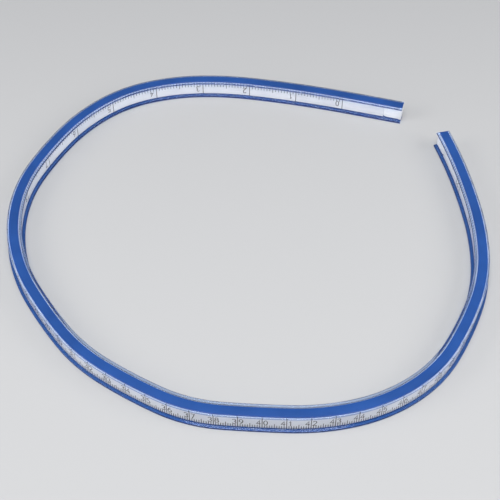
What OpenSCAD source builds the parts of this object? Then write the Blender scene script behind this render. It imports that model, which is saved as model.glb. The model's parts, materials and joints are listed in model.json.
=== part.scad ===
// Flexible curve ruler: a bendable drawing rule that keeps the curve it is bent to.
// A blue tube has a clear lipped cover along each side, with a printed scale behind it,
// and holds a soft lead core between two spring steel strips. A white plug closes each end.
// The tube and its covers are divided into short links on upright hinges, so that they bend.
// The scales, core and springs are single strips that run through all the links.
// The inner side faces the middle of the curve (inch scale), the outer side faces away (cm scale).

/* [Length and bend] */
// Length of one link along the centre line
link_length = 27.7; // [24:0.1:32]
// Direction in which the zero end sets off, in degrees from +X
start_heading = 163.7; // [0:0.1:359.9]
// Bend of each of the 24 links from the zero end on, in degrees
link_bend = [
    0.5, 3, 3.5, 11, 17, 24, 17.5, 9, 19.5, 17.5, 15.5, 6.5,
    17.5, 7, 22.5, 3, 16, 21, 23, 8.5, 17, 10, 5, 5
]; // [0.5:0.5:30]
// Largest turn of one hinge that the links leave room for, in degrees
hinge_turn = 25; // [10:1:40]
// Extra room around the hollow end of a link
hinge_room = 0.05; // [0.02:0.01:0.2]
// How much narrower than the widest lip the round end of a link is, on each side
knuckle_step = 0.35; // [0.3:0.01:0.6]

/* [Cross-section] */
// Reach of the upper lip from the centre line on the inner side
inner_upper_lip = 3.8; // [3.1:0.1:4.2]
// Reach of the upper lip on the outer side
outer_upper_lip = 3.1; // [3.1:0.1:4.2]
// Reach of the lower lip on the inner side, which is the widest of the four
inner_lower_lip = 4.2; // [4:0.1:5]
// Reach of the lower lip on the outer side
outer_lower_lip = 4; // [3.5:0.1:4.2]
// Height from the resting face to the top
height = 9.4; // [9:0.1:14]
// Width of the blue tube
tube_width = 4.2; // [4:0.1:5]
// Thickness of the upper lips
upper_lip_thickness = 0.8; // [0.8:0.1:1.1]
// Thickness of the lower lips
lower_lip_thickness = 1.1; // [0.8:0.1:1.2]
// Width across the clear windows between the lips
window_width = 5.4; // [5.3:0.1:6.4]
// Bevel along the outer edges of the lips
lip_bevel = 0.3; // [0.1:0.1:0.5]

/* [Scale strips] */
// Thickness of a printed strip
strip_thickness = 0.2; // [0.1:0.05:0.3]
// Height of a printed strip
strip_height = 7.1; // [6:0.1:7.2]
// Height of a strip's lower edge above the resting face
strip_base = 1.5; // [1.3:0.1:1.6]
// Room around a strip in its pocket
strip_room = 0.1; // [0.1:0.01:0.15]

/* [Core] */
// Height of the lead core and the springs
core_height = 6; // [5:0.1:7]
// Thickness of the lead core
core_thickness = 1.4; // [1:0.1:1.6]
// Thickness of each spring steel strip
spring_thickness = 0.3; // [0.1:0.05:0.35]
// Room around each metal strip in the tube
core_room = 0.1; // [0.1:0.01:0.15]

/* [End plugs] */
// Length of a plug's legs, which fill the strip pockets at the ends
plug_leg = 9.5; // [6:0.5:14]
// Thickness of a plug's end wall
plug_wall = 1.2; // [0.8:0.1:3]
// Gap between a plug and the strips that end at it
end_room = 0.1; // [0.1:0.1:1]

/* [Hidden] */
LINKS = 24;
STEPS_PER_LINK = 10;
$fn = 180;

full_length = LINKS * link_length;
step_length = link_length / STEPS_PER_LINK;
tube_half = tube_width / 2;
window_half = window_width / 2;
strip_top = strip_base + strip_height;
strip_near = tube_half + strip_room;
strip_far = strip_near + strip_thickness;
pocket_base = strip_base - strip_room;
pocket_top = strip_top + strip_room;
pocket_back = strip_far + strip_room;
core_half = core_thickness / 2;
core_base = (height - core_height) / 2;
spring_near = core_half + core_room;
spring_far = spring_near + spring_thickness;
hollow_half = spring_far + core_room;
hollow_base = core_base - core_room;
hollow_top = height - hollow_base;
knuckle_radius = inner_lower_lip - knuckle_step;
socket_radius = inner_lower_lip / cos(hinge_turn / 2) + hinge_room;
seat_depth = plug_wall + strip_room;
seat_half = window_half + strip_room;
seat_base = pocket_base - strip_room;
seat_top = pocket_top + strip_room;
cut_size = 4 * inner_lower_lip;
overshoot = 1;

// The centre line is a chain of arcs, one for each link, each tangent to the next.
function along(angle) = [cos(angle), sin(angle)];
function turned(i) = i == 0 ? start_heading : turned(i - 1) + link_bend[i - 1];
function arc_radius(i) = link_length * 180 / (PI * link_bend[i]);
function arc_chord(i) = 2 * arc_radius(i) * sin(link_bend[i] / 2);
function arc_step(i) = arc_chord(i) * along(turned(i) + link_bend[i] / 2);
function link_start(i) = i == 0 ? [0, 0] : link_start(i - 1) + arc_step(i - 1);
function arc_centre(i) = link_start(i) + arc_radius(i) * along(turned(i) + 90);
function arc_point(i, share, offset) =
    arc_centre(i) + (arc_radius(i) - offset) * along(turned(i) + share * link_bend[i] - 90);

function line_point(distance, offset) =
    let (i = min(floor(distance / link_length), LINKS - 1))
        arc_point(i, distance / link_length - i, offset);

// The whole curve is centred on the origin.
edges = [
    for (step = [0 : LINKS * STEPS_PER_LINK], reach = [inner_lower_lip, -outer_lower_lip])
        line_point(step * step_length, reach)
];
edge_x = [for (p = edges) p[0]];
edge_y = [for (p = edges) p[1]];
middle = [min(edge_x) + max(edge_x), min(edge_y) + max(edge_y)] / 2;

// Sweeps an outline along one link, between two shares of its length.
// In the outline, x runs from the centre line towards the inner side, and y runs up.
module swept(i, from, to)
    translate(concat(arc_centre(i) - middle, 0))
        rotate([0, 0, turned(i) + from * link_bend[i] - 90])
            rotate_extrude(angle = (to - from) * link_bend[i])
                translate([arc_radius(i), 0])
                    mirror([1, 0])
                        children();

// The plan of a band between two offsets, from one distance along the line to another
module band(near, far, from, to) {
    steps = ceil((to - from) / step_length);
    size = (to - from) / steps;
    near_side = [for (step = [0 : steps]) line_point(from + step * size, near)];
    far_side = [for (step = [steps : -1 : 0]) line_point(from + step * size, far)];
    translate(-middle)
        polygon(concat(near_side, far_side));
}

// A strip standing on edge that runs through every link, with a margin free at both ends
module strip(near, far, base, strip_size, margin)
    translate([0, 0, base])
        linear_extrude(strip_size)
            band(near, far, margin, full_length - margin);

// A rectangle between two offsets and two heights
module slab(near, far, base, top)
    translate([near, base])
        square([far - near, top - base]);

// The hinge where a link starts, with X along the link
module at_hinge(i)
    translate(concat(link_start(i) - middle, 0))
        rotate([0, 0, turned(i)])
            children();

module hinge_post(i, radius)
    at_hinge(i)
        translate([0, 0, -overshoot])
            cylinder(r = radius, h = height + 2 * overshoot);

// What is cut away around the round nose of a link, at the start of the next one
module nose_cut(i)
    difference() {
        at_hinge(i)
            translate([0, -cut_size / 2, -overshoot])
                cube([cut_size, cut_size, height + 2 * overshoot]);
        hinge_post(i, knuckle_radius);
    }

// One link of an outline: hollow where it meets the link before, round where it meets the next
module link(i) {
    last = i == LINKS - 1;
    nose = last ? 0 : (knuckle_radius + overshoot) / link_length;
    difference() {
        swept(i, 0, 1 + nose)
            children();
        if (!last)
            nose_cut(i + 1);
        if (i > 0)
            hinge_post(i, socket_radius);
    }
}

module tube_outline()
    difference() {
        slab(-tube_half, tube_half, 0, height);
        slab(-hollow_half, hollow_half, hollow_base, hollow_top);
    }

// A cover, from the reach of its upper and of its lower lip
module cover_outline(upper, lower) {
    upper_base = height - upper_lip_thickness;
    polygon([
        [tube_half, 0],
        [lower - lip_bevel, 0],
        [lower, lip_bevel],
        [lower, lower_lip_thickness - lip_bevel],
        [lower - lip_bevel, lower_lip_thickness],
        [window_half, lower_lip_thickness],
        [window_half, upper_base],
        [upper - lip_bevel, upper_base],
        [upper, upper_base + lip_bevel],
        [upper, height - lip_bevel],
        [upper - lip_bevel, height],
        [tube_half, height],
        [tube_half, pocket_top],
        [pocket_back, pocket_top],
        [pocket_back, pocket_base],
        [tube_half, pocket_base]
    ]);
}

// The room for a plug's end wall, around the place where a link starts
module plug_seat(i)
    at_hinge(i)
        translate([-seat_depth, -seat_half, seat_base])
            cube([2 * seat_depth, 2 * seat_half, seat_top - seat_base]);

// The first and the last link each have a plug seated in their free end.
module seated(i)
    difference() {
        children();
        if (i == 0)
            plug_seat(0);
        if (i == LINKS - 1)
            plug_seat(LINKS);
    }

module sleeve(i)
    color("royalblue")
        seated(i)
            link(i)
                tube_outline();

module covers(i)
    color("lightsteelblue", 0.4) {
        seated(i)
            link(i)
                cover_outline(inner_upper_lip, inner_lower_lip);
        seated(i)
            link(i)
                mirror([1, 0])
                    cover_outline(outer_upper_lip, outer_lower_lip);
    }

module inch_strip()
    color("white")
        strip(strip_near, strip_far, strip_base, strip_height, plug_leg + end_room);

module cm_strip()
    color("white")
        strip(-strip_far, -strip_near, strip_base, strip_height, plug_leg + end_room);

module lead_core()
    color("dimgray")
        strip(-core_half, core_half, core_base, core_height, plug_wall + end_room);

module inner_spring()
    color("silver")
        strip(spring_near, spring_far, core_base, core_height, plug_wall + end_room);

module outer_spring()
    color("silver")
        strip(-spring_far, -spring_near, core_base, core_height, plug_wall + end_room);

// A plug's wall closes the end, and its legs fill the ends of both strip pockets.
// The plug starts at one distance along the line, and its legs run the given way from there.
module plug(start, way) {
    corners = [
        [0, window_half],
        [plug_wall, window_half],
        [plug_wall, strip_far],
        [plug_leg / 2, strip_far],
        [plug_leg, strip_far],
        [plug_leg, strip_near],
        [plug_leg / 2, strip_near],
        [plug_wall, strip_near]
    ];
    count = len(corners);
    inner = [for (c = corners) line_point(start + way * c[0], c[1])];
    outer = [for (n = [1 : count], c = [corners[count - n]]) line_point(start + way * c[0], -c[1])];
    color("whitesmoke")
        translate([0, 0, strip_base])
            linear_extrude(strip_height)
                translate(-middle)
                    polygon(concat(inner, outer));
}

module zero_end_plug()
    plug(0, 1);

module far_end_plug()
    plug(full_length, -1);

for (i = [1 : LINKS]) {
    sleeve(i - 1);
    covers(i - 1);
}
inch_strip();
cm_strip();
lead_core();
inner_spring();
outer_spring();
zero_end_plug();
far_end_plug();
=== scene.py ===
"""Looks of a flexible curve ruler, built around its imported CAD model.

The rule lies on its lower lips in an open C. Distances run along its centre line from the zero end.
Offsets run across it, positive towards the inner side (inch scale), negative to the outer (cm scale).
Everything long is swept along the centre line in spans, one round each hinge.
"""

import json
import math

import bpy
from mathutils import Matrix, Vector


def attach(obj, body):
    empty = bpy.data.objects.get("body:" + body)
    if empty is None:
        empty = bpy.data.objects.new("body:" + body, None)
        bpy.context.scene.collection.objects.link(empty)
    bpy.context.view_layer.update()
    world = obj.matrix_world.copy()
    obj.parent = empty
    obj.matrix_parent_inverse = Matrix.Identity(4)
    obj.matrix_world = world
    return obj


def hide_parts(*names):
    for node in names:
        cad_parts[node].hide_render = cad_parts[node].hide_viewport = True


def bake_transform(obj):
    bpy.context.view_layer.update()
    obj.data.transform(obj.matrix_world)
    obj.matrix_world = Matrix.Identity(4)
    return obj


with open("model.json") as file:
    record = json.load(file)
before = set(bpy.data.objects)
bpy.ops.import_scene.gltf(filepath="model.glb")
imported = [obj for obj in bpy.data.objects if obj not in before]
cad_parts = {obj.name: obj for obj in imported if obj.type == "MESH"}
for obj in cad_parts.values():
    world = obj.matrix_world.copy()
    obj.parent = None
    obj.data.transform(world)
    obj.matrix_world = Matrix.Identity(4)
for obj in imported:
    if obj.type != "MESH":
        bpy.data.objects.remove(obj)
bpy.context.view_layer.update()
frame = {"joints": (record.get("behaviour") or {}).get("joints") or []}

MM = 0.001

# The centre line: a chain of arcs, one for each link, each tangent to the next
LINK_LENGTH = 27.7 * MM
START_HEADING = 163.7
LINK_BEND = [
    0.5, 3, 3.5, 11, 17, 24, 17.5, 9, 19.5, 17.5, 15.5, 6.5,
    17.5, 7, 22.5, 3, 16, 21, 23, 8.5, 17, 10, 5, 5,
]
LINKS = len(LINK_BEND)
FULL_LENGTH = LINKS * LINK_LENGTH
RINGS_PER_LINK = 20
SHARP_ANGLE = 40

# The cross-section
HEIGHT = 9.4 * MM
ROOM = 0.1 * MM
TUBE_HALF = 2.1 * MM
SLEEVE_ROUND = 0.12 * MM

# The covers. The lips are the reach of the upper and of the lower lip.
INNER_LIPS = (3.8 * MM, 4.2 * MM)
OUTER_LIPS = (3.1 * MM, 4 * MM)
WINDOW_HALF = 2.7 * MM
UPPER_LIP_BASE = HEIGHT - 0.8 * MM
LOWER_LIP_TOP = 1.1 * MM
LIP_ROUND = 0.3 * MM
LEDGE_ROUND = 0.2 * MM
UPPER_ROUND = 0.15 * MM
# How far a cover laps over the tube, so that no gap shows between them
CONTACT = 0.02 * MM

# The scale strips
STRIP_BASE = 1.5 * MM
STRIP_TOP = STRIP_BASE + 7.1 * MM
STRIP_BACK = TUBE_HALF + ROOM
STRIP_FACE = STRIP_BACK + 0.2 * MM

# The metal inside, and the hollow it lies in
CORE_HALF = 0.7 * MM
CORE_BASE = 1.7 * MM
CORE_ROUND = 0.1 * MM
SPRING_NEAR = CORE_HALF + ROOM
SPRING_FAR = SPRING_NEAR + 0.3 * MM
SPRING_ROUND = 0.05 * MM
HOLLOW_HALF = SPRING_FAR + ROOM
HOLLOW_BASE = CORE_BASE - ROOM

# The plugs, and the seat cut out of the tube and covers for a plug's end wall
PLUG_WALL = 1.2 * MM
PLUG_ROUND = 0.25 * MM
ROUND_STEPS = 5
PLUG_LEG = 9.5 * MM
LEG_START = PLUG_WALL - ROOM
LEG_BASE = STRIP_BASE + 0.2 * MM
LEG_STEPS = 6
NOTCH_LENGTH = 2.4 * MM
NOTCH_HEIGHT = 1.2 * MM
NOTCH_STEPS = 8
SEAT_DEPTH = PLUG_WALL + ROOM
SEAT_HALF = WINDOW_HALF + ROOM
SEAT_BASE = STRIP_BASE - 2 * ROOM
SEAT_TOP = STRIP_TOP + 2 * ROOM

# The print. Ticks are short or long, and a whole unit has a line over the whole strip.
CM_START = 40.2 * MM
INCH_START = 32 * MM
INCH = 25.4 * MM
INCH_PARTS = 16
LAST_MM = 600
LAST_INCH_PART = 378
INK = 0.012 * MM
TICK_WIDTH = 0.28 * MM
LINE_WIDTH = 0.32 * MM
CM_TICKS = (1.9 * MM, 3 * MM)
INCH_TICKS = (2.4 * MM, 3.4 * MM)
DIGIT_HEIGHT = 3.3 * MM
DIGIT_WIDTH = 1.8 * MM
DIGIT_STROKE = 0.36 * MM
DIGIT_GAP = 0.35 * MM
MITRE_LIMIT = 0.5
CM_DIGIT_BASE = 3.6 * MM
INCH_DIGIT_BASE = 3 * MM
INCH_DIGIT_START = 2.7 * MM

# The stage
FLOOR_REACH = 4.0
FLOOR_DROP = 0.02 * MM
FLOOR_GREY = 0.5
FLOOR_ROUGHNESS = 0.8
LIGHTS = [
    # name, place, size and power, each aimed at the origin
    ("key", (0, -0.3, 0.8), 0.5, 5.5),
    ("left_fill", (-0.6, -0.15, 0.4), 0.4, 1.6),
    ("right_fill", (0.6, -0.15, 0.4), 0.4, 1.6),
]
WORLD_COLOUR = (0.9, 0.93, 1.0)
WORLD_STRENGTH = 0.4
CAMERA_PLACE = (0.00213, -0.32298, 0.36054)
CAMERA_DOWN = 48.993
CAMERA_LENS = 72.57
CAMERA_SENSOR = 36


# ---------------------------------------------------------------- centre line


def unit(angle):
    """The flat direction at an angle in degrees."""
    return Vector((math.cos(math.radians(angle)), math.sin(math.radians(angle))))


def chain():
    """The start, heading and bend of each link, with the first link's start at (0, 0)."""
    links, start, heading = [], Vector((0, 0)), START_HEADING
    for bend in LINK_BEND:
        links.append((start, heading, bend))
        radius = LINK_LENGTH / math.radians(bend)
        chord = 2 * radius * math.sin(math.radians(bend / 2))
        start = start + chord * unit(heading + bend / 2)
        heading += bend
    return links


CHAIN = chain()
FIRST_HINGE = Vector(frame["joints"][0]["pos_m"][:2])
SHIFT = FIRST_HINGE - CHAIN[1][0]


def spot(distance, offset, height):
    """The point at a distance along the centre line, an offset from it and a height."""
    i = min(max(int(distance / LINK_LENGTH), 0), LINKS - 1)
    start, heading, bend = CHAIN[i]
    radius = LINK_LENGTH / math.radians(bend)
    centre = start + radius * unit(heading + 90)
    angle = heading + (distance / LINK_LENGTH - i) * bend - 90
    flat = centre + (radius - offset) * unit(angle) + SHIFT
    return Vector((flat.x, flat.y, height))


def level_with(path, side):
    """The distance along the centre line that is level with a length along a strip's own face."""
    for i, (_, _, bend) in enumerate(CHAIN):
        length = LINK_LENGTH - side * STRIP_FACE * math.radians(bend)
        if path <= length or i == LINKS - 1:
            return (i + path / length) * LINK_LENGTH
        path -= length


# ------------------------------------------------------------------- outlines


def rounded(corners, steps=4):
    """A closed outline from (offset, height, radius) corners, with each corner rounded."""
    outline = []
    count = len(corners)
    for i, (x, y, radius) in enumerate(corners):
        here = Vector((x, y))
        if radius == 0:
            outline.append(here)
            continue
        before = (Vector(corners[i - 1][:2]) - here).normalized()
        after = (Vector(corners[(i + 1) % count][:2]) - here).normalized()
        half = before.angle(after) / 2
        reach = radius / math.tan(half)
        centre = here + (before + after).normalized() * (radius / math.sin(half))
        first, last = here + before * reach - centre, here + after * reach - centre
        for step in range(steps + 1):
            arm = first.normalized().slerp(last.normalized(), step / steps)
            outline.append(centre + arm * radius)
    return outline


def box_outline(near, far, base, top, radius=0.0, steps=4):
    """A rectangle between two offsets and two heights, with rounded corners."""
    corners = [(near, base, radius), (far, base, radius), (far, top, radius), (near, top, radius)]
    return rounded(corners, steps)


def cover_outline(lips):
    """One clear cover with an upper and a lower lip, and its pocket for the strip open at the back."""
    upper, lower = lips
    back = TUBE_HALF - CONTACT
    pocket = STRIP_FACE - CONTACT / 2
    low, high = STRIP_BASE - ROOM, STRIP_TOP + ROOM
    return rounded(
        [
            (back, 0, 0),
            (lower, 0, LIP_ROUND),
            (lower, LOWER_LIP_TOP, LIP_ROUND),
            (WINDOW_HALF, LOWER_LIP_TOP, LEDGE_ROUND),
            (WINDOW_HALF, UPPER_LIP_BASE, LEDGE_ROUND),
            (upper, UPPER_LIP_BASE, UPPER_ROUND),
            (upper, HEIGHT, LIP_ROUND),
            (back, HEIGHT, 0),
            (back, high, 0),
            (pocket, high, 0),
            (pocket, low, 0),
            (back, low, 0),
        ]
    )


def lip_outlines(lips):
    """The two lips of one cover beside a plug's end wall, without the window between them."""
    upper, lower = lips
    back = TUBE_HALF - CONTACT
    low_corners = [
        (back, 0, 0),
        (lower, 0, LIP_ROUND),
        (lower, LOWER_LIP_TOP, LIP_ROUND),
        (SEAT_HALF, LOWER_LIP_TOP, 0),
        (SEAT_HALF, SEAT_BASE, 0),
        (back, SEAT_BASE, 0),
    ]
    high_corners = [
        (back, SEAT_TOP, 0),
        (SEAT_HALF, SEAT_TOP, 0),
        (SEAT_HALF, UPPER_LIP_BASE, 0),
        (upper, UPPER_LIP_BASE, UPPER_ROUND),
        (upper, HEIGHT, LIP_ROUND),
        (back, HEIGHT, 0),
    ]
    return [rounded(low_corners), rounded(high_corners)]


def mirrored(outline):
    """The same outline on the other side of the centre line."""
    return [Vector((-p.x, p.y)) for p in reversed(outline)]


# --------------------------------------------------------------------- meshes


class Build:
    """Collects vertices and faces, with a material number for each face."""

    def __init__(self):
        self.points, self.faces, self.kinds = [], [], []

    def add(self, points, faces):
        """Adds points, and faces that count those points from 0."""
        first = len(self.points)
        self.points += points
        self.faces += [[first + i for i in face] for face in faces]
        self.kinds += [0] * len(faces)

    def sweep(self, outline, stops, cap_start=True, cap_end=True, hole=None, kinds=None):
        """Sweeps an outline, and a hole of as many points, through the distances in stops.

        The kinds are the material numbers of the faces that start at each point of the outline.
        """
        loops = [outline] if hole is None else [outline, hole]
        n = len(outline)
        points, faces = [], []
        for at in stops:
            for loop in loops:
                points += [spot(at, p.x, p.y) for p in loop]
        ring = n * len(loops)
        for r in range(len(stops) - 1):
            for side in range(len(loops)):
                a, b = r * ring + side * n, (r + 1) * ring + side * n
                for i in range(n):
                    j = (i + 1) % n
                    quad = [a + i, a + j, b + j, b + i]
                    faces.append(quad if side == 0 else quad[::-1])
        for capped, base, flip in ((cap_start, 0, True), (cap_end, (len(stops) - 1) * ring, False)):
            if not capped:
                continue
            if hole is None:
                cap = [base + i for i in range(n)]
                faces.append(cap[::-1] if flip else cap)
            else:
                for i in range(n):
                    j = (i + 1) % n
                    quad = [base + i, base + j, base + n + j, base + n + i]
                    faces.append(quad[::-1] if flip else quad)
        first = len(self.kinds)
        self.add(points, faces)
        if kinds is not None:
            swept = (len(stops) - 1) * n
            self.kinds[first:first + swept] = kinds * (len(stops) - 1)

    def loft(self, sections):
        """Joins sections, each a distance and an outline of as many points, into one closed solid."""
        sections = sorted(sections, key=lambda section: section[0])
        n = len(sections[0][1])
        points = [spot(at, p.x, p.y) for at, outline in sections for p in outline]
        faces = []
        for r in range(len(sections) - 1):
            for i in range(n):
                j = (i + 1) % n
                a, b = r * n, (r + 1) * n
                faces.append([a + i, a + j, b + j, b + i])
        last = (len(sections) - 1) * n
        faces.append([n - 1 - i for i in range(n)])
        faces.append([last + i for i in range(n)])
        self.add(points, faces)

    def finish(self, name, materials):
        """Makes the object, smooth apart from its sharp edges."""
        mesh = bpy.data.meshes.new(name)
        mesh.from_pydata([p[:] for p in self.points], [], self.faces)
        for material in materials:
            mesh.materials.append(material)
        for polygon, kind in zip(mesh.polygons, self.kinds):
            polygon.material_index = kind
            polygon.use_smooth = True
        mesh.validate()
        mesh.set_sharp_from_angle(angle=math.radians(SHARP_ANGLE))
        obj = bpy.data.objects.new(name, mesh)
        bpy.context.scene.collection.objects.link(obj)
        return obj


def stops_between(start, stop):
    """Distances from start to stop that keep to the same grid in every span."""
    step = LINK_LENGTH / RINGS_PER_LINK
    inner = [k * step for k in range(math.ceil(start / step), int(stop / step) + 1)]
    inner = [d for d in inner if start + step / 4 < d < stop - step / 4]
    return [start, *inner, stop]


def span_ends(k):
    """The distances that the span round hinge k runs between."""
    start = 0.0 if k == 1 else (k - 0.5) * LINK_LENGTH
    stop = FULL_LENGTH if k == LINKS - 1 else (k + 0.5) * LINK_LENGTH
    return start, stop


def between_seats(k):
    """The ends of a span, kept clear of the room for the plugs' end walls."""
    start, stop = span_ends(k)
    return max(start, SEAT_DEPTH), min(stop, FULL_LENGTH - SEAT_DEPTH)


def beside_seats(k):
    """The stretches of a span beside a plug's end wall. Only the first and the last span have one."""
    start, stop = span_ends(k)
    clear_start, clear_stop = between_seats(k)
    return [(a, b) for a, b in ((start, clear_start), (clear_stop, stop)) if b > a]


def span_nodes(name, k):
    """The CAD nodes that a span stands for: one link's, and in the last span the last two links'."""
    last = LINKS if k == LINKS - 1 else k
    return [f"{name}_{n}" for n in range(k, last + 1)]


def bend_with_hinge(piece):
    """Bakes the placement of the span round a hinge into its mesh."""
    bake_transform(piece)


# ------------------------------------------------------------------ materials


def new_material(name):
    """A new material, its nodes, its links and its main shader."""
    material = bpy.data.materials.new(name)
    material.use_nodes = True
    nodes, links = material.node_tree.nodes, material.node_tree.links
    shader = next(n for n in nodes if n.type == "BSDF_PRINCIPLED")
    return material, nodes, links, shader


def noise(nodes, links, scale, detail):
    """Noise in object space, where one unit is a metre."""
    where = nodes.new("ShaderNodeTexCoord")
    texture = nodes.new("ShaderNodeTexNoise")
    texture.inputs["Scale"].default_value = scale
    texture.inputs["Detail"].default_value = detail
    links.new(where.outputs["Object"], texture.inputs["Vector"])
    return texture.outputs["Fac"]


def ramp(nodes, links, value, stops):
    """A colour ramp over (position, colour) stops."""
    node = nodes.new("ShaderNodeValToRGB")
    elements = node.color_ramp.elements
    while len(elements) < len(stops):
        elements.new(0.5)
    for element, (position, colour) in zip(elements, stops):
        element.position = position
        element.color = (*colour, 1)
    links.new(value, node.inputs["Fac"])
    return node.outputs["Color"]


def mapped(nodes, links, value, low, high):
    """A value from 0 to 1, stretched to run from low to high."""
    node = nodes.new("ShaderNodeMapRange")
    node.inputs["To Min"].default_value = low
    node.inputs["To Max"].default_value = high
    links.new(value, node.inputs["Value"])
    return node.outputs["Result"]


def bump(nodes, links, shader, height, strength, distance):
    """Lets a height from 0 to 1 roughen a shader's surface."""
    node = nodes.new("ShaderNodeBump")
    node.inputs["Strength"].default_value = strength
    node.inputs["Distance"].default_value = distance
    links.new(height, node.inputs["Height"])
    links.new(node.outputs["Normal"], shader.inputs["Normal"])


def blue_pvc():
    """Matt blue PVC with a fine grain."""
    material, nodes, links, shader = new_material("blue_pvc")
    broad = noise(nodes, links, scale=60, detail=4)
    fine = noise(nodes, links, scale=2500, detail=3)
    colour = ramp(nodes, links, broad, [(0.3, (0.009, 0.055, 0.230)), (0.7, (0.015, 0.078, 0.310))])
    links.new(colour, shader.inputs["Base Color"])
    links.new(mapped(nodes, links, fine, low=0.38, high=0.6), shader.inputs["Roughness"])
    shader.inputs["Specular IOR Level"].default_value = 0.3
    bump(nodes, links, shader, fine, strength=0.4, distance=0.04 * MM)
    return material


def clear_pvc(name, tint, shade):
    """Clear PVC. It lets lamps through with a shade of its own, so that what is behind it stays lit."""
    material, nodes, links, shader = new_material(name)
    shader.inputs["Base Color"].default_value = (*tint, 1)
    shader.inputs["Transmission Weight"].default_value = 1
    shader.inputs["IOR"].default_value = 1.53
    fine = noise(nodes, links, scale=900, detail=2)
    links.new(mapped(nodes, links, fine, low=0.03, high=0.09), shader.inputs["Roughness"])
    output = next(n for n in nodes if n.type == "OUTPUT_MATERIAL")
    clear = nodes.new("ShaderNodeBsdfTransparent")
    clear.inputs["Color"].default_value = (*shade, 1)
    path = nodes.new("ShaderNodeLightPath")
    mix = nodes.new("ShaderNodeMixShader")
    links.new(path.outputs["Is Shadow Ray"], mix.inputs["Fac"])
    links.new(shader.outputs["BSDF"], mix.inputs[1])
    links.new(clear.outputs["BSDF"], mix.inputs[2])
    links.new(mix.outputs["Shader"], output.inputs["Surface"])
    return material


def strip_pvc():
    """White PVC sheet, faintly uneven."""
    material, nodes, links, shader = new_material("strip_pvc")
    broad = noise(nodes, links, scale=90, detail=3)
    colour = ramp(nodes, links, broad, [(0.3, (0.70, 0.71, 0.76)), (0.7, (0.78, 0.79, 0.83))])
    links.new(colour, shader.inputs["Base Color"])
    fine = noise(nodes, links, scale=3000, detail=2)
    links.new(mapped(nodes, links, fine, low=0.45, high=0.6), shader.inputs["Roughness"])
    return material


def ink():
    """Black printing ink."""
    material, nodes, links, shader = new_material("ink")
    fine = noise(nodes, links, scale=1800, detail=3)
    colour = ramp(nodes, links, fine, [(0.3, (0.012, 0.012, 0.016)), (0.75, (0.035, 0.035, 0.042))])
    links.new(colour, shader.inputs["Base Color"])
    shader.inputs["Roughness"].default_value = 0.5
    return material


def lead():
    """Dull, mottled lead."""
    material, nodes, links, shader = new_material("lead")
    broad = noise(nodes, links, scale=250, detail=5)
    colour = ramp(nodes, links, broad, [(0.25, (0.10, 0.10, 0.11)), (0.75, (0.22, 0.22, 0.24))])
    links.new(colour, shader.inputs["Base Color"])
    shader.inputs["Metallic"].default_value = 1
    links.new(mapped(nodes, links, broad, low=0.45, high=0.65), shader.inputs["Roughness"])
    bump(nodes, links, shader, broad, strength=0.3, distance=0.1 * MM)
    return material


def spring_steel():
    """Bright rolled steel."""
    material, nodes, links, shader = new_material("spring_steel")
    fine = noise(nodes, links, scale=1200, detail=4)
    colour = ramp(nodes, links, fine, [(0.3, (0.42, 0.42, 0.44)), (0.7, (0.52, 0.52, 0.54))])
    links.new(colour, shader.inputs["Base Color"])
    shader.inputs["Metallic"].default_value = 1
    links.new(mapped(nodes, links, fine, low=0.22, high=0.35), shader.inputs["Roughness"])
    return material


def plug_plastic():
    """White moulded plastic."""
    material, nodes, links, shader = new_material("plug_plastic")
    broad = noise(nodes, links, scale=300, detail=4)
    colour = ramp(nodes, links, broad, [(0.3, (0.80, 0.81, 0.85)), (0.7, (0.87, 0.88, 0.91))])
    links.new(colour, shader.inputs["Base Color"])
    links.new(mapped(nodes, links, broad, low=0.38, high=0.5), shader.inputs["Roughness"])
    bump(nodes, links, shader, broad, strength=0.15, distance=0.05 * MM)
    return material


BLUE = blue_pvc()
# The floor is pale, so the upper and lower lips are tinted with the blue that they pick up from the tube
# on a dark one: a painted reflection of the tube, with painted shade of a dark floor.
CLEAR = clear_pvc("clear_pvc", (0.97, 0.98, 0.99), (0.97, 0.98, 0.99))
UPPER_LIP_PAINTED_REFLECTION = clear_pvc("clear_pvc_upper_lip_painted_reflection", (0.60, 0.72, 0.94), (0.80, 0.87, 0.97))
# The lips' front edges are tinted a deeper blue, a painted shade line along them.
LIP_EDGE_PAINTED_SHADE = clear_pvc("clear_pvc_lip_edge_painted_shade", (0.16, 0.24, 0.50), (0.62, 0.72, 0.90))
LOWER_LIP_PAINTED_REFLECTION = clear_pvc("clear_pvc_lower_lip_painted_reflection", (0.12, 0.28, 0.54), (0.50, 0.66, 0.92))
COVER_MATERIALS = [CLEAR, UPPER_LIP_PAINTED_REFLECTION, LIP_EDGE_PAINTED_SHADE, LOWER_LIP_PAINTED_REFLECTION]
WINDOW_KIND, UPPER_KIND, EDGE_KIND, LOWER_KIND = range(len(COVER_MATERIALS))
STRIP = strip_pvc()
INK_BLACK = ink()
LEAD = lead()
STEEL = spring_steel()
PLUG = plug_plastic()


# --------------------------------------------------------------------- pieces


def make_sleeve(k):
    """The blue tube. At the rule's ends its side walls stop short, for the plug's end wall."""
    body = Build()
    body.sweep(
        box_outline(-TUBE_HALF, TUBE_HALF, 0, HEIGHT, SLEEVE_ROUND),
        stops_between(*between_seats(k)),
        hole=box_outline(-HOLLOW_HALF, HOLLOW_HALF, HOLLOW_BASE, HEIGHT - HOLLOW_BASE, SLEEVE_ROUND),
    )
    for stretch in beside_seats(k):
        for base, top in ((0, SEAT_BASE), (SEAT_TOP, HEIGHT)):
            body.sweep(box_outline(-TUBE_HALF, TUBE_HALF, base, top, SLEEVE_ROUND), stretch)
    piece = body.finish(f"blue_sleeve_{k}", [BLUE])
    bend_with_hinge(piece)
    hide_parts(*span_nodes("sleeve", k))


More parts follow.
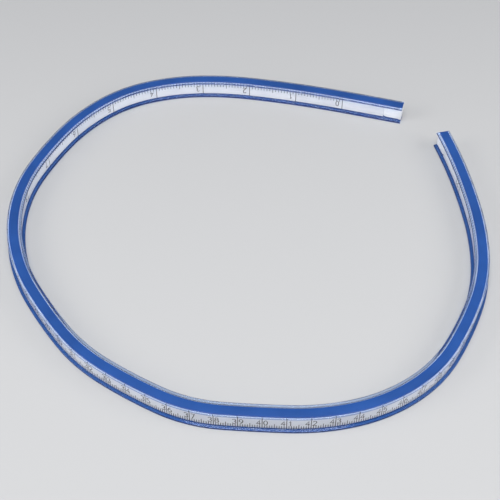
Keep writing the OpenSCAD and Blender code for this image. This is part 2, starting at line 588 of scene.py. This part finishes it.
def cover_kinds(outline, lips):
    """Material numbers round a cover's outline: window, upper lip, its edge and lower lip. The lips take
    materials with a painted reflection of the tube, and their front edges one with painted shade.
    """
    kinds = []
    for here, after in zip(outline, outline[1:] + outline[:1]):
        middle = (here + after) / 2
        if middle.y < LOWER_LIP_TOP + LEDGE_ROUND / 2:
            kinds.append(LOWER_KIND)
        elif middle.y < UPPER_LIP_BASE - LEDGE_ROUND / 2:
            kinds.append(WINDOW_KIND)
        elif abs(middle.x) > lips[0] - LIP_ROUND and middle.y < HEIGHT - LIP_ROUND / 3:
            kinds.append(EDGE_KIND)
        else:
            kinds.append(UPPER_KIND)
    return kinds


def make_covers(k):
    """Both clear covers. They are open where they meet the next span, so that no cut shows inside them."""
    body = Build()
    stops = stops_between(*between_seats(k))
    for lips, turned in ((INNER_LIPS, list), (OUTER_LIPS, mirrored)):
        side = turned(cover_outline(lips))
        body.sweep(side, stops, cap_start=k == 1, cap_end=k == LINKS - 1, kinds=cover_kinds(side, lips))
        for stretch in beside_seats(k):
            for lip in map(turned, lip_outlines(lips)):
                body.sweep(lip, stretch, kinds=cover_kinds(lip, lips))
    piece = body.finish(f"clear_covers_{k}", COVER_MATERIALS)
    bend_with_hinge(piece)
    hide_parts(*span_nodes("covers", k))


def long_piece(name, k, near, far, base, top, margin, material, slot, radius=0.0):
    """One span of a piece that runs through all the links, with a margin free at both ends."""
    start, stop = span_ends(k)
    start, stop = max(start, margin), min(stop, FULL_LENGTH - margin)
    body = Build()
    body.sweep(box_outline(near, far, base, top, radius, steps=2), stops_between(start, stop))
    piece = body.finish(f"{name}_{k}", [material])
    bend_with_hinge(piece)
    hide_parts(name)


def make_long_pieces(k):
    """The scale strips between the plugs' legs, and the core and springs between their walls."""
    strip = (STRIP_BASE, STRIP_TOP, PLUG_LEG + ROOM, STRIP, "strip_pvc")
    metal = (CORE_BASE, HEIGHT - CORE_BASE, PLUG_WALL + ROOM)
    spring = (*metal, STEEL, "spring_steel", SPRING_ROUND)
    long_piece("inch_strip", k, STRIP_BACK, STRIP_FACE, *strip)
    long_piece("cm_strip", k, -STRIP_FACE, -STRIP_BACK, *strip)
    long_piece("lead_core", k, -CORE_HALF, CORE_HALF, *metal, LEAD, "lead", CORE_ROUND)
    long_piece("inner_spring", k, SPRING_NEAR, SPRING_FAR, *spring)
    long_piece("outer_spring", k, -SPRING_FAR, -SPRING_NEAR, *spring)


def plug_leg(body, place, side):
    """One leg of a plug, with the lower corner of its tip rounded off."""
    near, far = sorted((side * STRIP_BACK, side * STRIP_FACE))
    notch_start = PLUG_LEG - NOTCH_LENGTH
    lower_edge = []
    for step in range(LEG_STEPS + 1):
        lower_edge.append((LEG_START + (notch_start - LEG_START) * step / LEG_STEPS, LEG_BASE))
    for step in range(1, NOTCH_STEPS + 1):
        turn = math.radians(90 * step / NOTCH_STEPS)
        rise = NOTCH_HEIGHT * (1 - math.cos(turn))
        lower_edge.append((notch_start + NOTCH_LENGTH * math.sin(turn), LEG_BASE + rise))
    body.loft([(place(d), box_outline(near, far, base, STRIP_TOP)) for d, base in lower_edge])


def make_plug(name, node, link, at_zero):
    """A plug: an end wall as wide as the windows, and two legs that fill the ends of the strip pockets."""

    def place(d):
        """Where a distance from the rule's own end is along the centre line."""
        return d if at_zero else FULL_LENGTH - d

    body = Build()
    for side in (1, -1):
        plug_leg(body, place, side)
    sections = []
    for step in range(ROUND_STEPS + 1):
        turn = math.radians(90 * step / ROUND_STEPS)
        inset = PLUG_ROUND * (1 - math.sin(turn))
        outline = box_outline(
            inset - WINDOW_HALF, WINDOW_HALF - inset, STRIP_BASE + inset, STRIP_TOP - inset, PLUG_ROUND
        )
        sections.append((place(PLUG_ROUND * (1 - math.cos(turn))), outline))
    square = box_outline(-WINDOW_HALF, WINDOW_HALF, STRIP_BASE, STRIP_TOP, PLUG_ROUND)
    sections.append((place(PLUG_WALL), square))
    body.loft(sections)
    piece = body.finish(name, [PLUG])
    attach(piece, link)
    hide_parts(node)


# ---------------------------------------------------------------------- print


def arc(x, y, reach_x, reach_y, first, last, steps=10):
    """Points on part of an ellipse, from one angle to another in degrees."""
    turns = [math.radians(first + (last - first) * step / steps) for step in range(steps + 1)]
    return [(x + reach_x * math.cos(turn), y + reach_y * math.sin(turn)) for turn in turns]


SIX = [
    arc(0, 0.3, 0.42, 0.3, 180, -180, 16),
    arc(0.5, 0.3, 0.92, 0.7, 180, 105),
]
# The strokes of each digit, in a box one unit wide about x = 0 and one unit high
DIGITS = [
    [arc(0, 0.5, 0.42, 0.5, 90, 450, 18)],
    [[(-0.25, 0.78), (0.1, 1), (0.1, 0)]],
    [arc(0, 0.72, 0.42, 0.28, 160, -35) + [(-0.42, 0), (0.45, 0)]],
    [arc(-0.04, 0.75, 0.38, 0.25, 155, -90), arc(-0.04, 0.26, 0.44, 0.26, 90, -155)],
    [[(0.2, 0), (0.2, 1), (-0.46, 0.3), (0.48, 0.3)]],
    [[(0.38, 1), (-0.3, 1), (-0.36, 0.54)] + arc(-0.04, 0.32, 0.45, 0.32, 130, -150)],
    SIX,
    [[(-0.42, 1), (0.42, 1), (-0.1, 0)]],
    [arc(0, 0.75, 0.34, 0.25, 90, 450, 14), arc(0, 0.26, 0.43, 0.26, 90, 450, 16)],
    [[(-x, 1 - y) for x, y in stroke] for stroke in SIX],
]


def stroke_edges(stroke):
    """The two edges of a stroke's ribbon, in metres, with mitred corners."""
    line = [Vector((x * DIGIT_WIDTH, y * DIGIT_HEIGHT)) for x, y in stroke]
    closed = (line[0] - line[-1]).length < DIGIT_STROKE / 10
    left, right = [], []
    for n, here in enumerate(line):
        before = line[n - 1] if n > 0 else (line[-2] if closed else None)
        after = line[n + 1] if n < len(line) - 1 else (line[1] if closed else None)
        into = (here - before).normalized() if before is not None else None
        out = (after - here).normalized() if after is not None else into
        into = into if into is not None else out
        across = (into + out).normalized().orthogonal()
        reach = DIGIT_STROKE / 2 / max(across.dot(into.orthogonal()), MITRE_LIMIT)
        left.append(here + across * reach)
        right.append(here - across * reach)
    return left, right


def add_bar(body, at, width, base, top, side):
    """A printed bar on a strip's face, from base to top."""
    face, out = side * STRIP_FACE, side * (STRIP_FACE + INK)
    points = []
    for d in (at - width / 2, at + width / 2):
        for offset in (face, out):
            for z in (base, top):
                points.append(spot(d, offset, z))
    faces = [[0, 1, 3, 2], [4, 6, 7, 5], [0, 4, 5, 1], [2, 3, 7, 6], [0, 2, 6, 4], [1, 5, 7, 3]]
    if side < 0:
        faces = [f[::-1] for f in faces]
    body.add(points, faces)


def add_digit(body, digit, at, base, side, upright):
    """A digit centred on a distance.

    Upright, it reads with the rule lying as it is. Otherwise it is turned half round.
    """
    turn = 1 if upright else -1
    for stroke in DIGITS[digit]:
        left, right = stroke_edges(stroke)
        points, faces = [], []
        for a, b in zip(left, right):
            for edge, rise in ((a, 0), (b, 0), (b, INK), (a, INK)):
                # Distance runs to the right seen from the outer side, and to the left from the inner side.
                height = base + (edge.y if upright else DIGIT_HEIGHT - edge.y)
                points.append(spot(at - side * turn * edge.x, side * (STRIP_FACE + rise), height))
        for n in range(0, len(points) - 4, 4):
            for i in range(4):
                j = (i + 1) % 4
                faces.append([n + i, n + 4 + i, n + 4 + j, n + j])
        last = len(points) - 4
        faces += [[0, 1, 2, 3], [last + 3, last + 2, last + 1, last]]
        body.add(points, faces)


def add_mark(body, path, side, long_line, length, start, stop):
    """A tick, or a line over the whole strip, if it falls within a span. Returns whether it does."""
    at = level_with(path, side)
    if not start <= at < stop:
        return False
    if long_line:
        add_bar(body, at, LINE_WIDTH, STRIP_BASE, STRIP_TOP, side)
    elif side < 0:
        add_bar(body, at, TICK_WIDTH, STRIP_BASE, STRIP_BASE + length, side)
    else:
        add_bar(body, at, TICK_WIDTH, STRIP_TOP - length, STRIP_TOP, side)
    return True


def make_print(k):
    """The printed scales of one span. Each follows its own strip, which is bent but not stretched."""
    start, stop = span_ends(k)
    cm, inch = Build(), Build()
    gap = LINE_WIDTH / 2 + DIGIT_GAP + DIGIT_WIDTH / 2
    for mm in range(LAST_MM + 1):
        path = CM_START + mm * MM
        length = CM_TICKS[mm % 5 == 0]
        whole = mm % 10 == 0
        if add_mark(cm, path, -1, whole, length, start, stop) and whole:
            number = str(mm // 10)
            places = [path + gap] if len(number) == 1 else [path - gap, path + gap]
            for place, character in zip(places, number):
                add_digit(cm, int(character), level_with(place, -1), CM_DIGIT_BASE, -1, True)
    for part in range(LAST_INCH_PART + 1):
        path = INCH_START + part * INCH / INCH_PARTS
        length = INCH_TICKS[part % (INCH_PARTS // 2) == 0]
        whole = part % INCH_PARTS == 0
        if add_mark(inch, path, 1, whole, length, start, stop) and whole:
            for n, character in enumerate(str(part // INCH_PARTS)):
                place = path + INCH_DIGIT_START + n * (DIGIT_WIDTH + DIGIT_GAP)
                add_digit(inch, int(character), level_with(place, 1), INCH_DIGIT_BASE, 1, False)
    for name, body in (("cm_print", cm), ("inch_print", inch)):
        if body.points:
            piece = body.finish(f"{name}_{k}", [INK_BLACK])
            bend_with_hinge(piece)


for k in range(1, LINKS):
    make_sleeve(k)
    make_covers(k)
    make_long_pieces(k)
    make_print(k)
make_plug("zero_plug", "zero_end_plug", "link_1", True)
make_plug("far_plug", "far_end_plug", f"link_{LINKS}", False)


# ---------------------------------------------------------------------- stage


def make_floor():
    """A plain pale floor, just under the rule."""
    material, *_, shader = new_material("floor")
    shader.inputs["Base Color"].default_value = (FLOOR_GREY, FLOOR_GREY, FLOOR_GREY, 1)
    shader.inputs["Roughness"].default_value = FLOOR_ROUGHNESS
    mesh = bpy.data.meshes.new("floor")
    corners = [(-1, -1), (1, -1), (1, 1), (-1, 1)]
    mesh.from_pydata([(x * FLOOR_REACH, y * FLOOR_REACH, 0) for x, y in corners], [], [(0, 1, 2, 3)])
    mesh.materials.append(material)
    floor = bpy.data.objects.new("floor", mesh)
    floor.location.z = -FLOOR_DROP
    bpy.context.scene.collection.objects.link(floor)


def area_light(name, place, size, power):
    """A square lamp aimed at the origin."""
    light = bpy.data.lights.new(name, "AREA")
    light.shape = "SQUARE"
    light.size = size
    light.energy = power
    lamp = bpy.data.objects.new(name, light)
    lamp.location = place
    lamp.rotation_euler = (-Vector(place)).to_track_quat("-Z", "Y").to_euler()
    bpy.context.scene.collection.objects.link(lamp)


def make_world():
    """Soft, slightly cool light from all sides."""
    world = bpy.data.worlds.new("studio")
    world.use_nodes = True
    background = world.node_tree.nodes["Background"]
    background.inputs["Color"].default_value = (*WORLD_COLOUR, 1)
    background.inputs["Strength"].default_value = WORLD_STRENGTH
    bpy.context.scene.world = world
    bpy.context.scene.view_settings.view_transform = "Standard"


def make_camera():
    """Looks down at the rule from its front."""
    camera = bpy.data.cameras.new("camera")
    camera.sensor_width = CAMERA_SENSOR
    camera.lens = CAMERA_LENS
    holder = bpy.data.objects.new("camera", camera)
    holder.location = CAMERA_PLACE
    holder.rotation_euler = (math.radians(90 - CAMERA_DOWN), 0, 0)
    bpy.context.scene.collection.objects.link(holder)
    bpy.context.scene.camera = holder


make_floor()
for lamp in LIGHTS:
    area_light(*lamp)
make_world()
make_camera()
